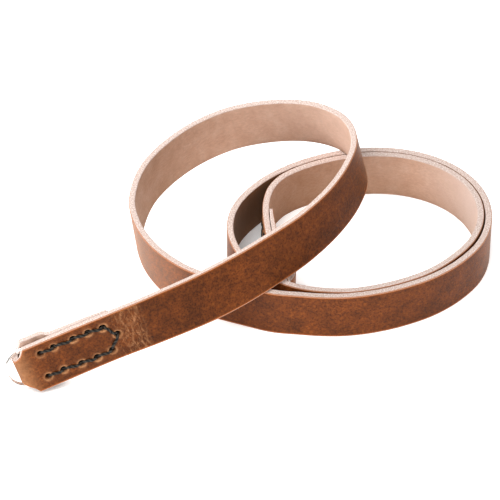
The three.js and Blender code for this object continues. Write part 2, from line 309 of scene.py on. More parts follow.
def half_width(inwards):
    """Half width: the neck at the fold's tip, growing with a power of the distance round
    the fold to the full width at the shoulder."""
    from_tip = FOLD_RADIUS * np.pi / 2 + inwards - FOLD_START
    share = np.clip(from_tip / SHOULDER_ROUND_FOLD, 0, 1)
    return NECK_HALF + (STRAP_WIDTH / 2 - NECK_HALF) * share**SHOULDER_CURVE


def pocket_gap(inwards):
    """Air between the two layers: the ring's room, closing to the sewn stretch."""
    closed = smoothstep(inwards, POCKET_LENGTH, POCKET_LENGTH + POCKET_FADE)
    return POCKET_GAP + (STITCH_GAP - POCKET_GAP) * closed


def folded_half_width(inwards):
    """The folded layer's end has both its corners cut off along slanting lines."""
    cut = np.maximum(0, inwards - FOLD_LENGTH + CORNER_CUT) / CORNER_CUT
    return half_width(inwards) - CORNER_INSET * cut


def folded_thickness(inwards):
    """The folded layer is pared evenly from the pocket to its end."""
    pared = np.clip((inwards - POCKET_LENGTH) / (FOLD_LENGTH - POCKET_LENGTH), 0, 1)
    return STRAP_THICKNESS + (SKIVED_EDGE - STRAP_THICKNESS) * pared


# %% [markdown]
# ## Relief of the sewn ends
# The awl pushed eleven holes through both layers of each end, and each hole has a raised
# lip. The thread pulls a shallow groove between them, and the leather creases where the
# folded layer stops behind it. These are worked out as heights over the unrolled leather,
# so that they are real geometry and show from every side.

# %% Stitch holes and smooth noise
# Eleven holes: mm inwards from the shoulder, mm above the strap's middle.
HOLES = np.array(
    [
        (5.6, 5.5),
        (11.1, 5.9),
        (18.9, 5.9),
        (24.7, 5.9),
        (30.1, 5.5),
        (34.2, 0.5),
        (30.4, -5.2),
        (24.3, -5.7),
        (18.2, -5.4),
        (11.2, -4.8),
        (4.9, -5.1),
    ]
)
HOLE_RADIUS = 1.2
HOLE_DEPTH = 1.5
LIP_RADIUS = 1.5
LIP_SOFTNESS = 0.42
LIP_HEIGHT = 0.2
HALO_RADIUS = 2.1  # of the paler leather round a hole
SEAM_WIDTH = 0.85
SEAM_DEPTH = 0.3
CREASE_CENTRE = 40.5  # mm inwards, where the folded layer stops behind
CREASE_REACH = 4.6
CREASE_HEIGHT = 0.3
FINE_CREASE = 0.95  # mm from crease to crease
WIDE_CREASE = 1.7
TIP_WEAR_CENTRE = -4  # mm inwards, on the round of the fold
TIP_WEAR_REACH = 4.2
# How bright each face of the hide is painted at so many mm from the first fold, and how
# far it is painted pale: painted light and shade, a painted sheen on the grain and painted
# shade between the layers. The rows were chosen by comparing renders with the photograph,
# so some of the light that falls on the strap is part of its colour here.
GRAIN_PAINTED_SHADING = (
    (0, 0.84),
    (17, 0.76),
    (52, 0.69),
    (72, 0.7),
    (88, 0.83),
    (145, 0.78),
    (190, 0.9),
    (281, 0.9),
    (340, 0.95),
    (374, 0.64),
    (404, 0.97),
    (453, 0.77),
    (500, 0.95),
)
GRAIN_PAINTED_SHEEN = (
    (281, 0),
    (300, 0.15),
    (325, 0.16),
    (340, 0.12),
    (365, 0.02),
    (374, 0),
    (470, 0),
    (495, 0.03),
    (521, 0.02),
    (560, 0),
)
FLESH_PAINTED_SHADING = (
    (0, 3),
    (17, 1),
    (190, 1),
    (240, 0.95),
    (281, 0.6),
    (340, 0.8),
    (374, 1),
    (521, 1),
    (560, 0.92),
    (595, 0.5),
    (613, 0.08),
    (645, 0.08),
    (680, 1),
    (800, 1),
    (830, 0.97),
    (881, 0.5),
    (940, 0.45),
)
FLESH_PAINTED_LIGHT = (
    (0, 0.4),
    (17, 0),
    (145, 0),
    (190, 0.35),
    (240, 0.1),
    (281, 0),
    (340, 0),
    (374, 0.4),
    (404, 0.5),
    (453, 0.7),
    (500, 1),
    (521, 0.9),
    (560, 0.05),
    (595, 0),
    (645, 0),
    (680, 0.4),
    (750, 0.7),
    (800, 0.85),
    (830, 0.1),
    (881, 0),
)
LATTICE_SIZE = 256
rng = np.random.default_rng(11)
LATTICE = rng.random((LATTICE_SIZE, LATTICE_SIZE))


def soft_noise(x, y):
    """Value noise from 0 to 1: random numbers on a square lattice, blended smoothly."""
    column, row = np.floor(x).astype(int), np.floor(y).astype(int)
    fx, fy = smoothstep(x - column, 0, 1), smoothstep(y - row, 0, 1)
    left, right = column % LATTICE_SIZE, (column + 1) % LATTICE_SIZE
    under, over = row % LATTICE_SIZE, (row + 1) % LATTICE_SIZE
    low = LATTICE[left, under] * (1 - fx) + LATTICE[right, under] * fx
    high = LATTICE[left, over] * (1 - fx) + LATTICE[right, over] * fx
    return low * (1 - fy) + high * fy


def distance_to_seam(inwards, aside):
    """Least distance from each point to the broken line through the holes."""
    best = np.full(np.shape(inwards), 1e3)
    for (s0, q0), (s1, q1) in zip(HOLES[:-1], HOLES[1:]):
        ds, dq = s1 - s0, q1 - q0
        t = ((inwards - s0) * ds + (aside - q0) * dq) / (ds * ds + dq * dq)
        t = np.clip(t, 0, 1)
        best = np.minimum(best, np.hypot(inwards - s0 - t * ds, aside - q0 - t * dq))
    return best


def crease_field(inwards, aside):
    """Ridged noise, long across the strap and short along it, round the fold's end."""
    bend = 1.6 * soft_noise(aside / 5 + 9, inwards / 9) - 0.012 * (aside + 2) ** 2
    run = inwards + bend
    fine = 1 - np.abs(2 * soft_noise(run / FINE_CREASE, aside / 4 + 40) - 1)
    wide = 1 - np.abs(2 * soft_noise(run / WIDE_CREASE + 60, aside / 7 + 7) - 1)
    envelope = np.exp(-(((inwards - CREASE_CENTRE) / CREASE_REACH) ** 4))
    return envelope * np.clip(0.6 * fine**9 + 0.25 * wide**11, 0, 1)


def end_relief(inwards, aside):
    """Height in mm, wear and the share of painted shade in the holes over the unrolled
    end: lips round the holes minus the holes and the seam's groove, plus the creases."""
    gap = np.hypot(
        inwards[..., None] - HOLES[:, 0], aside[..., None] - HOLES[:, 1]
    ).min(-1)
    lip = np.exp(-(((gap - LIP_RADIUS) / LIP_SOFTNESS) ** 2))
    pit = np.exp(-((gap / HOLE_RADIUS) ** 4))
    seam = np.exp(-((distance_to_seam(inwards, aside) / SEAM_WIDTH) ** 2))
    crease = crease_field(inwards, aside)
    height = LIP_HEIGHT * lip - HOLE_DEPTH * pit
    height = height - SEAM_DEPTH * seam * (1 - lip) + CREASE_HEIGHT * crease
    halo = np.exp(-((gap / HALO_RADIUS) ** 2))
    patch = soft_noise(inwards / 3 + 20, aside / 2.4 + 3)
    tip = np.exp(-(((inwards - TIP_WEAR_CENTRE) / TIP_WEAR_REACH) ** 2))
    wear = 0.7 * lip * (0.4 + 0.9 * patch) + 0.3 * halo * patch + crease + 0.5 * tip
    return height, np.clip(wear, 0, 1), pit


print("holes in each end:", len(HOLES))

# %% [markdown]
# ## The strip's skin
# The strip's section is a rectangle with softened corners. Carrying it along the route
# gives the skin: one grid with the distance along the leather on one side and the way
# round the section on the other. Stations are close together where the relief is, and
# farther apart where the leather is plain.

# %% Stations along the leather
FINE_STEP = 0.4
PLAIN_STEP = 1.2
FINE_REACH = 47  # mm from each shoulder that carry relief


def steps(start, stop, step):
    """Evenly spread numbers from start to stop, both included."""
    return np.linspace(start, stop, int(np.ceil(abs(stop - start) / step)) + 1)


def section_rows(end):
    """Folded layer and fold of one end, from the cut end to the start of the front."""
    first = end == "first"
    inwards = steps(FOLD_LENGTH, FOLD_START, FINE_STEP)
    distance = inwards if first else STRAP_LENGTH - inwards
    centre, _, across, grain = frame_at(distance)
    thickness = folded_thickness(inwards)
    depth = (STRAP_THICKNESS + thickness) / 2 + pocket_gap(inwards)
    folded = dict(
        centre=centre - grain * depth[:, None],
        across=across,
        grain=-grain,
        half=folded_half_width(inwards),
        thickness=thickness,
        inwards=inwards,
        unrolled=-(FOLD_RADIUS * np.pi + inwards - FOLD_START),
    )
    start = FOLD_START if first else STRAP_LENGTH - FOLD_START
    centre, along, across, grain = (v[0] for v in frame_at([start]))
    outward = -along if first else along
    angle = np.linspace(-np.pi / 2, np.pi / 2, 30)[1:-1, None]
    normal = np.cos(angle) * outward + np.sin(angle) * grain
    round_fold = FOLD_RADIUS * np.abs(angle[:, 0])
    reach = FOLD_START - (FOLD_RADIUS * np.pi / 2 - round_fold)
    bend = dict(
        centre=centre - grain * FOLD_RADIUS + normal * FOLD_RADIUS,
        across=np.broadcast_to(across, normal.shape),
        grain=normal,
        half=half_width(reach),
        thickness=np.full(len(normal), float(STRAP_THICKNESS)),
        inwards=reach,
        unrolled=-(FOLD_RADIUS * (np.pi / 2 - angle[:, 0])),
    )
    return {key: np.concatenate([folded[key], bend[key]]) for key in folded}


def front_rows():
    """The front layer, from fold to fold."""
    stop = STRAP_LENGTH - FOLD_START
    distance = np.concatenate(
        [
            steps(FOLD_START, FINE_REACH, FINE_STEP),
            steps(FINE_REACH, STRAP_LENGTH - FINE_REACH, PLAIN_STEP)[1:-1],
            steps(STRAP_LENGTH - FINE_REACH, stop, FINE_STEP),
        ]
    )
    centre, _, across, grain = frame_at(distance)
    inwards = np.minimum(distance, STRAP_LENGTH - distance)
    return dict(
        centre=centre,
        across=across,
        grain=grain,
        half=half_width(inwards),
        thickness=np.full(len(distance), float(STRAP_THICKNESS)),
        inwards=inwards,
        unrolled=distance - FOLD_START,
    )


def whole_strip():
    """Sections of the whole strip in the order that the leather runs."""
    first, front, second = section_rows("first"), front_rows(), section_rows("second")
    second = {key: value[::-1].copy() for key, value in second.items()}
    second["unrolled"] = front["unrolled"][-1] - second["unrolled"]
    return {k: np.concatenate([first[k], front[k], second[k]]) for k in first}


STRIP = whole_strip()
print("sections along the strip:", len(STRIP["half"]))

# %% The section and its skin
CORNER = 0.3  # mm, radius of the strip's softened corners
FACE_POINTS = 42  # across the grain face
BACK_POINTS = 10
EDGE_POINTS = 5
ARC_POINTS = 2
RELIEF_FADE = 4  # mm over which the relief runs out along the leather
RIM_FADE = 1.4  # and towards the cut edges
FRAY_HEIGHT = 0.16
RUBBED_WIDTH = 0.3  # of the worn line along the grain face's borders


def section_outline():
    """Way round the section from the upper grain corner, down the grain face and back
    up the flesh side: (side share, side normal, depth share, depth normal, face)."""
    arc = np.linspace(0, np.pi / 2, ARC_POINTS + 2)[1:-1]
    down = np.linspace(1, -1, FACE_POINTS)
    flat = np.linspace(1, -1, EDGE_POINTS)
    up = np.linspace(-1, 1, BACK_POINTS)
    rows = []
    rows += [(a, 0, 1, 1, 0) for a in down]
    rows += [(-1, -np.sin(t), 1, np.cos(t), 1) for t in arc]
    rows += [(-1, -1, b, 0, 1) for b in flat]
    rows += [(-1, -np.cos(t), -1, -np.sin(t), 1) for t in arc]
    rows += [(a, 0, -1, -1, 2) for a in up]
    rows += [(1, np.sin(t), -1, -np.cos(t), 1) for t in arc]
    rows += [(1, 1, b, 0, 1) for b in flat[::-1]]
    rows += [(1, np.cos(t), 1, np.sin(t), 1) for t in arc]
    return np.array(rows, float).T


def strip_skin(strip):
    """Vertices as centre + width direction x side + grain normal x depth, with the
    relief added along the grain normal on the grain face."""
    side, side_out, deep, deep_out, face = section_outline()
    half = strip["half"][:, None]
    thick = strip["thickness"][:, None] / 2
    aside = side * (half - CORNER) + side_out * CORNER
    depth = deep * (thick - CORNER) + deep_out * CORNER
    inwards = np.broadcast_to(strip["inwards"][:, None], aside.shape)
    height, wear, pit = end_relief(inwards, aside)
    near = smoothstep(FINE_REACH - inwards, 0, RELIEF_FADE)
    grain_share = np.where(face == 0, 1.0, 0.0)
    rim = smoothstep(half - np.abs(aside), CORNER, RIM_FADE)
    depth = depth + height * near * grain_share * rim
    fray = soft_noise(strip["unrolled"][:, None] / 1.6 + 300, aside / 3 + 30) - 0.5
    depth = depth + FRAY_HEIGHT * fray * (face == 2)
    points = (
        strip["centre"][:, None]
        + strip["across"][:, None] * aside[..., None]
        + strip["grain"][:, None] * depth[..., None]
    )
    to_border = half - np.abs(aside) - CORNER
    rubbed = np.exp(-((to_border / RUBBED_WIDTH) ** 2)) * grain_share
    return points, aside + depth, wear * near, pit * near * grain_share, rubbed


def grid_faces(rows, columns):
    """Quads between neighbouring rows, closed round the columns, facing outwards."""
    row, column = np.meshgrid(np.arange(rows - 1), np.arange(columns), indexing="ij")
    after = (column + 1) % columns
    a, b = row * columns + column, row * columns + after
    quads = np.stack([a, b, b + columns, a + columns], -1)
    return quads.reshape(-1, 4)


def make_mesh(name, points, quads, caps=()):
    """A smooth mesh object from vertices in millimetres."""
    mesh = bpy.data.meshes.new(name)
    faces = quads.tolist() + [list(map(int, cap)) for cap in caps]
    mesh.from_pydata((points.reshape(-1, 3) * MM).tolist(), [], faces)
    mesh.shade_smooth()
    piece = bpy.data.objects.new(name, mesh)
    bpy.context.scene.collection.objects.link(piece)
    return piece


def add_uv(piece, u, v):
    """A UV map in metres of leather, one value for each vertex."""
    mesh = piece.data
    corner = np.empty(len(mesh.loops), np.int32)
    mesh.loops.foreach_get("vertex_index", corner)
    uv = np.stack([u.ravel()[corner], v.ravel()[corner]], 1) * MM
    layer = mesh.uv_layers.new(name="laid_flat")
    layer.data.foreach_set("uv", uv.astype(np.float32).ravel())


def add_values(piece, name, values):
    """A number for each vertex, which a material reads by its name."""
    layer = piece.data.attributes.new(name, "FLOAT", "POINT")
    layer.data.foreach_set("value", values.astype(np.float32).ravel())


skin, girth, wear, pit, rubbed = strip_skin(STRIP)
rows, columns = skin.shape[:2]
caps = (np.arange(columns)[::-1], (rows - 1) * columns + np.arange(columns))
strap = make_mesh("strap_leather", skin, grid_faces(rows, columns), caps)
along_leather = np.broadcast_to(STRIP["unrolled"][:, None], girth.shape)
FACE_SPREAD = 60  # mm between the three faces on the map, so that no pattern repeats
MAP_START = 200
round_section = section_outline()[4] * FACE_SPREAD + girth
add_uv(strap, along_leather + MAP_START, round_section)
add_values(strap, "wear", wear)
# The holes' share, which the grain material uses to paint shade inside them.
add_values(strap, "pit", pit)
add_values(strap, "rubbed", rubbed)
# Painted light and shade along the leather, carried as numbers on the mesh.
for name, table in (
    ("grain_painted_shading", GRAIN_PAINTED_SHADING),
    ("grain_painted_sheen", GRAIN_PAINTED_SHEEN),
    ("flesh_painted_shading", FLESH_PAINTED_SHADING),
    ("flesh_painted_light", FLESH_PAINTED_LIGHT),
):
    along, value = np.array(table, float).T
    add_values(strap, name, np.interp(along_leather, along, value))
BENT_CENTRE = 40  # mm from the fold's start, where the grain creases
BENT_REACH = 6
from_fold = np.minimum(along_leather, STRAP_LENGTH - 2 * FOLD_START - along_leather)
bent = np.exp(-(((from_fold - BENT_CENTRE) / BENT_REACH) ** 4))
add_values(strap, "bent", bent)
print("strap faces:", len(strap.data.polygons))

# %% [markdown]
# ## Waxed thread
# The thread is braided and waxed. Each stitch bridges two holes on the surface and dives
# into both, which is one tube whose height over the leather follows a steep bowl. The
# same seam shows on the back of the folded layer.

# %% Sewing thread
THREAD_WIDE = 1.15
THREAD_HIGH = 0.7
THREAD_TOP = 0.15  # mm of its middle over the leather, halfway between two holes
THREAD_DROP = 1.2  # and how much lower it lies in a hole
THREAD_LEAN = 0.3  # mm to one side beside each hole
BRAID_LENGTH = 1.1
BRAID_WAIST = 0.07
STITCH_POINTS = 18
TUBE_SIDES = 12


def seam_path():
    """Position over the leather and height of the thread: straight from hole to hole,
    leaning to one side at each hole, with height = top - drop x (2t - 1)^4."""
    t = np.linspace(0, 1, STITCH_POINTS, endpoint=False)
    start, stop = HOLES[:-1, None], HOLES[1:, None]
    place = start + (stop - start) * t[None, :, None]
    way = unit(stop - start)
    side = np.stack([-way[..., 1], way[..., 0]], -1)
    place = place + side * (THREAD_LEAN * np.sin(2 * np.pi * t))[None, :, None]
    height = THREAD_TOP - THREAD_DROP * (2 * t - 1) ** 4 + 0 * place[..., 0]
    place = np.concatenate([place.reshape(-1, 2), HOLES[-1:]])
    return place[:, 0], place[:, 1], np.append(height.ravel(), THREAD_TOP - THREAD_DROP)


def seam_on_leather(end, layer):
    """The seam's points in space and the leather's outward normal at each of them."""
    inwards, aside, height = seam_path()
    distance = inwards if end == "first" else STRAP_LENGTH - inwards
    centre, _, across, grain = frame_at(distance)
    if layer == "front":
        rise = STRAP_THICKNESS / 2 + height
        normal = grain
    else:
        folded = pocket_gap(inwards) + folded_thickness(inwards)
        rise = -(STRAP_THICKNESS / 2 + folded + height)
        normal = -grain
    return centre + across * aside[:, None] + grain * rise[:, None], normal


def flat_tube(points, normal, wide, high):
    """An ellipse carried along the points, lying flat on the leather, with a slight
    waist every half turn of the braid."""
    along = unit(np.gradient(points, axis=0))
    side = unit(np.cross(along, normal))
    up = np.cross(side, along)
    far = distance_along(points)
    angle = np.linspace(0, 2 * np.pi, TUBE_SIDES, endpoint=False)[::-1]
    swell = 1 + BRAID_WAIST * np.sin(2 * np.pi * far / BRAID_LENGTH)
    ring = (
        side[:, None] * (np.cos(angle) * wide / 2)[None, :, None]
        + up[:, None] * (np.sin(angle) * high / 2)[None, :, None]
    )
    skin = points[:, None] + ring * swell[:, None, None]
    return skin, far, angle


def thread_piece(name, end):
    """Front and back seams of one end as one mesh."""
    points, quads, caps, u, v, start = [], [], [], [], [], 0
    for layer in ("front", "back"):
        path, normal = seam_on_leather(end, layer)
        skin, far, angle = flat_tube(path, normal, THREAD_WIDE, THREAD_HIGH)
        rows, columns = skin.shape[:2]
        faces = grid_faces(rows, columns)
        ends = [np.arange(columns)[::-1], (rows - 1) * columns + np.arange(columns)]
        points.append(skin.reshape(-1, 3))
        quads.append(faces + start)
        caps += [cap + start for cap in ends]
        u.append(np.repeat(far, columns))
        v.append(np.tile(angle * THREAD_WIDE / 2, rows))
        start += rows * columns
    piece = make_mesh(name, np.concatenate(points), np.concatenate(quads), caps)
    add_uv(piece, np.concatenate(u), np.concatenate(v))
    return piece


threads = [thread_piece("thread_a", "first"), thread_piece("thread_b", "second")]
print("thread faces:", [len(t.data.polygons) for t in threads])

# %% [markdown]
# ## Split rings
# A split ring is a wire of two flat turns with a short step between them. The packed
# model has it with few facets, so here the same wire is carried round with many more.

# %% Split rings
WIRE_SIDES = 16
WIRE_STEPS = 260


def squared_off(share):
    """A sine or cosine raised to 0.6 with its sign kept, which fills out the corners."""
    return np.sign(share) * np.abs(share) ** 0.6


def split_ring(name, end):
    """A rounded flat section carried round two turns. The height steps from the lower
    turn to the upper one with a smooth step before the first turn is complete."""
    turn = JOG_PLAY + (720 - JOG_LENGTH - 2 * JOG_PLAY) * np.linspace(0, 1, WIRE_STEPS)
    rise = (COIL_HEIGHT + COIL_SPLIT) / 2
    height = -rise + 2 * rise * smoothstep(turn, 360 - JOG_LENGTH, 360)
    angle = np.linspace(0, 2 * np.pi, WIRE_SIDES, endpoint=False)[::-1]
    breadth = squared_off(np.cos(angle)) * RING_WIRE / 2
    tall = squared_off(np.sin(angle)) * COIL_HEIGHT / 2
    reach = RING_RADIUS - RING_WIRE / 2 + breadth[None]
    way = np.radians(turn + JOG_ANGLE)[:, None]
    local = np.stack(
        [reach * np.cos(way), reach * np.sin(way), height[:, None] + tall[None]], -1
    )
    distance = RING_CENTRE if end == "first" else STRAP_LENGTH - RING_CENTRE
    centre, along, across, grain = (value[0] for value in frame_at([distance]))
    inward = along if end == "first" else -along
    centre = centre - grain * (STRAP_THICKNESS + POCKET_GAP) / 2
    basis = np.stack([inward, across, np.cross(inward, across)])
    points = centre + local @ basis
    rows, columns = points.shape[:2]
    ends = (np.arange(columns)[::-1], (rows - 1) * columns + np.arange(columns))
    return make_mesh(name, points, grid_faces(rows, columns), ends)


rings = [split_ring("split_ring_a", "first"), split_ring("split_ring_b", "second")]
print("ring faces:", [len(r.data.polygons) for r in rings])

# %% [markdown]
# ## Materials
# Every finish is built from what the real one is. One function turns sRGB hex colours to
# linear light and one adds a node with its settings and links. Pattern sizes are given
# in millimetres: a noise with scale 1 over coordinates in metres repeats about once a
# metre, so a pattern of n millimetres has scale 1000 / n.


# %% Colour and node helpers
def linear(hex_code):
    """sRGB hex to linear RGBA: c / 12.92 near black, else ((c + 0.055) / 1.055)^2.4."""
    srgb = np.array([int(hex_code[i : i + 2], 16) for i in (1, 3, 5)]) / 255
    light = np.where(srgb <= 0.04045, srgb / 12.92, ((srgb + 0.055) / 1.055) ** 2.4)
    return (*light.tolist(), 1.0)


def new_material(name):
    """An empty node material with an output, and its tree."""
    material = bpy.data.materials.new(name)
    material.use_nodes = True
    material.node_tree.nodes.clear()
    return material, material.node_tree


def add_node(tree, kind, links=None, **settings):
    """A node of that kind: settings are its properties, links its sockets by name or
    number, each a constant or another node's output."""
    node = tree.nodes.new(kind)
    for key, value in settings.items():
        setattr(node, key, value)
    for key, value in (links or {}).items():
        if isinstance(value, bpy.types.NodeSocket):
            tree.links.new(value, node.inputs[key])
        else:
            node.inputs[key].default_value = value
    return node


def ramp(tree, factor, stops):
    """A colour ramp from (position, colour) pairs."""
    node = add_node(tree, "ShaderNodeValToRGB", {"Fac": factor})
    elements = node.color_ramp.elements
    while len(elements) < len(stops):
        elements.new(0.5)
    for element, (position, colour) in zip(elements, stops):
        element.position = position
        element.color = colour
    return node.outputs["Color"]


def multiplied(tree, colour, layer):
    """One colour multiplied by another."""
    sockets = {0: 1.0, 6: colour, 7: layer}
    node = add_node(
        tree, "ShaderNodeMix", sockets, data_type="RGBA", blend_type="MULTIPLY"
    )
    return node.outputs[2]


def read_value(tree, name):
    """A number that the mesh carries at its vertices."""
    return add_node(tree, "ShaderNodeAttribute", attribute_name=name).outputs["Fac"]


def arithmetic(tree, operation, first, second=0.0):
    """One number worked out from two."""
    sockets = {0: first, 1: second}
    return add_node(tree, "ShaderNodeMath", sockets, operation=operation).outputs[0]


def per_mm(size):
    """Noise scale of a pattern of that many millimetres."""
    return 1 / (size * MM)


def grey(value):
    """A neutral linear colour."""
    return (value, value, value, 1.0)


# %% [markdown]
# ### Grain side
# Vegetable-tanned leather, drum-dyed brown and hot-waxed. The wax leaves a mottled,
# slightly glossy face with fine pores, and wherever the leather is bent, pressed or
# pierced the wax moves away and a light tan shows. Under the pigment the fibres are
# visible as streaks, so the colour varies in three sizes: blotches of about 9 mm,
# mottles of 1.5 mm and pores of 0.8 mm, which is as fine as the render shows.
# Where the end was bent, thin wavy lines cross the strap.

# %% Waxed grain
grain_leather, tree = new_material("waxed_vegetable_tanned_grain")
flat = add_node(tree, "ShaderNodeUVMap", uv_map="laid_flat").outputs[0]
blotch = add_node(
    tree,
    "ShaderNodeTexNoise",
    {"Vector": flat, "Scale": per_mm(9), "Detail": 3, "Roughness": 0.6},
).outputs[0]
mottle = add_node(
    tree,
    "ShaderNodeTexNoise",
    {"Vector": flat, "Scale": per_mm(1.5), "Detail": 5, "Roughness": 0.8},
).outputs[0]
pores = add_node(
    tree,
    "ShaderNodeTexVoronoi",
    {"Vector": flat, "Scale": per_mm(0.8), "Randomness": 1},
).outputs[0]
base = ramp(
    tree,
    mottle,
    [(0.28, linear("#4e270e")), (0.5, linear("#753a14")), (0.73, linear("#955320"))],
)
shade = ramp(tree, blotch, [(0.34, grey(0.6)), (0.62, grey(1.0))])
speck = ramp(tree, pores, [(0.1, grey(0.6)), (0.6, grey(1.16))])
# Painted light and shade: a brightness factor along the leather, read from the mesh.
tone = add_node(
    tree, "ShaderNodeAttribute", attribute_name="grain_painted_shading"
).outputs["Color"]
coloured = base
for layer in (shade, speck, tone):
    coloured = multiplied(tree, coloured, layer)
# Painted sheen: the grain is mixed towards a pale tan where the table says.
painted_sheen_share = read_value(tree, "grain_painted_sheen")
painted_sheen_mix = add_node(tree, "ShaderNodeMix", {0: painted_sheen_share, 6: coloured}, data_type="RGBA")
painted_sheen_mix.inputs[7].default_value = linear("#e8c4a8")
coloured = painted_sheen_mix.outputs[2]
wear = read_value(tree, "wear")
bent = read_value(tree, "bent")
drawn = add_node(
    tree, "ShaderNodeMapping", {"Vector": flat, "Scale": (1, 0.3, 1)}
).outputs[0]
folds = add_node(
    tree,
    "ShaderNodeTexNoise",
    {"Vector": drawn, "Scale": per_mm(1.9), "Detail": 3, "Roughness": 0.6, "Distortion": 0.5},
).outputs[0]
middle = arithmetic(tree, "SUBTRACT", folds, 0.5)
off_line = arithmetic(tree, "ABSOLUTE", middle)
line = add_node(
    tree, "ShaderNodeMapRange", {"Value": off_line, 1: 0.0, 2: 0.022, 3: 0.38, 4: 0.0}
).outputs[0]
creased = arithmetic(tree, "MULTIPLY", line, bent)
worn = arithmetic(tree, "MAXIMUM", wear, creased)
bare = ramp(tree, mottle, [(0.3, linear("#b5774a")), (0.7, linear("#d39a6c"))])
lighter = add_node(tree, "ShaderNodeMix", {0: worn}, data_type="RGBA")
tree.links.new(coloured, lighter.inputs[6])
tree.links.new(bare, lighter.inputs[7])
rubbed = read_value(tree, "rubbed")
rimmed = add_node(tree, "ShaderNodeMix", {0: rubbed}, data_type="RGBA")
tree.links.new(lighter.outputs[2], rimmed.inputs[6])
rimmed.inputs[7].default_value = linear("#b8672f")
# Painted shade in the stitch holes: the colour goes almost black where the hole is deep.
hole_shade_share = read_value(tree, "pit")
painted_hole_shade = add_node(tree, "ShaderNodeMix", {0: hole_shade_share}, data_type="RGBA")
tree.links.new(rimmed.outputs[2], painted_hole_shade.inputs[6])
painted_hole_shade.inputs[7].default_value = linear("#17130f")
gloss = add_node(
    tree, "ShaderNodeMapRange", {"Value": mottle, 1: 0.3, 2: 0.75, 3: 0.42, 4: 0.58}
).outputs[0]
pore_bump = add_node(
    tree,
    "ShaderNodeBump",
    {"Height": pores, "Strength": 0.16, "Distance": 0.15 * MM},
).outputs[0]
grain_bump = add_node(
    tree,
    "ShaderNodeBump",
    {"Height": mottle, "Strength": 0.35, "Distance": 0.25 * MM, "Normal": pore_bump},
).outputs[0]
face = add_node(
    tree,
    "ShaderNodeBsdfPrincipled",
    {
        "Base Color": painted_hole_shade.outputs[2],
        "Roughness": gloss,
        "Normal": grain_bump,
        "IOR": 1.48,
        "Specular IOR Level": 0.12,
        "Sheen Weight": 0.2,
        "Sheen Roughness": 0.25,
        "Sheen Tint": linear("#ffc494"),
    },
)
add_node(tree, "ShaderNodeOutputMaterial", {"Surface": face.outputs[0]})
print("grain material:", len(tree.nodes), "nodes")

# %% [markdown]
# ### Flesh side
# The back of the hide is undyed: pale pinkish tan, matt, with short loose fibres. A
# stretched noise gives the nap and a coarser one the cloudy tone. Deep between two
# layers, where the light has bounced off dyed leather, shade is painted in: the colour
# turns to a dark tan where an occlusion node finds the leather crowded, and a table along
# the leather paints deeper shade in the narrow wedge and paler light on the brightly lit
# inner walls.

# %% Bare flesh side
flesh_leather, tree = new_material("bare_flesh_side_leather")
flat = add_node(tree, "ShaderNodeUVMap", uv_map="laid_flat").outputs[0]
cloud = add_node(
    tree,
    "ShaderNodeTexNoise",
    {"Vector": flat, "Scale": per_mm(7), "Detail": 4, "Roughness": 0.6},
).outputs[0]
combed = add_node(
    tree, "ShaderNodeMapping", {"Vector": flat, "Scale": (0.45, 1, 1)}
).outputs[0]
nap = add_node(
    tree,
    "ShaderNodeTexNoise",
    {"Vector": combed, "Scale": per_mm(0.8), "Detail": 3, "Roughness": 0.7},
).outputs[0]
tone = ramp(
    tree, cloud, [(0.3, linear("#c69b81")), (0.55, linear("#d2a990")), (0.8, linear("#dcb7a1"))]
)
fibre = ramp(tree, nap, [(0.3, grey(0.8)), (0.68, grey(1.02))])
fibrous = multiplied(tree, tone, fibre)
# Painted shade: where an occlusion node finds leather close by, the colour turns dark tan.
occlusion_shade = add_node(
    tree, "ShaderNodeAmbientOcclusion", {"Distance": 0.03}, samples=8
).outputs["AO"]
depth = add_node(
    tree, "ShaderNodeMapRange", {"Value": occlusion_shade, 1: 0.1, 2: 0.8, 3: 0.0, 4: 1.0}
).outputs[0]
# Painted light: the flesh is mixed towards a pale pink where the table along the leather says.
painted_light_share = read_value(tree, "flesh_painted_light")
painted_light_mix = add_node(
    tree, "ShaderNodeMix", {0: painted_light_share, 6: fibrous}, data_type="RGBA"
)
painted_light_mix.inputs[7].default_value = linear("#d5bfb4")
painted_shading_along = read_value(tree, "flesh_painted_shading")
lit = arithmetic(tree, "MULTIPLY", depth, painted_shading_along)
# Painted shade: the lit flesh is mixed towards a dark tan by occlusion and the table.
shaded = add_node(
    tree, "ShaderNodeMix", {0: lit, 7: painted_light_mix.outputs[2]}, data_type="RGBA"
)
shaded.inputs[6].default_value = linear("#6c4624")
nap_bump = add_node(
    tree,
    "ShaderNodeBump",
    {"Height": nap, "Strength": 0.5, "Distance": 0.3 * MM},
).outputs[0]
face = add_node(
    tree,
    "ShaderNodeBsdfPrincipled",
    {
        "Base Color": shaded.outputs[2],
        "Roughness": 0.95,
        "Normal": nap_bump,
        "Specular IOR Level": 0.2,
        "Sheen Weight": 0.25,
        "Sheen Roughness": 0.4,
        "Sheen Tint": linear("#ffe2cc"),
    },
)
add_node(tree, "ShaderNodeOutputMaterial", {"Surface": face.outputs[0]})
print("flesh material:", len(tree.nodes), "nodes")

# %% [markdown]
# ### Cut edges
# The strap was cut with a knife and left raw: a pale, almost white section through the
# hide with loose fibres, and a thin burnt-orange line where the dye ends under the grain.

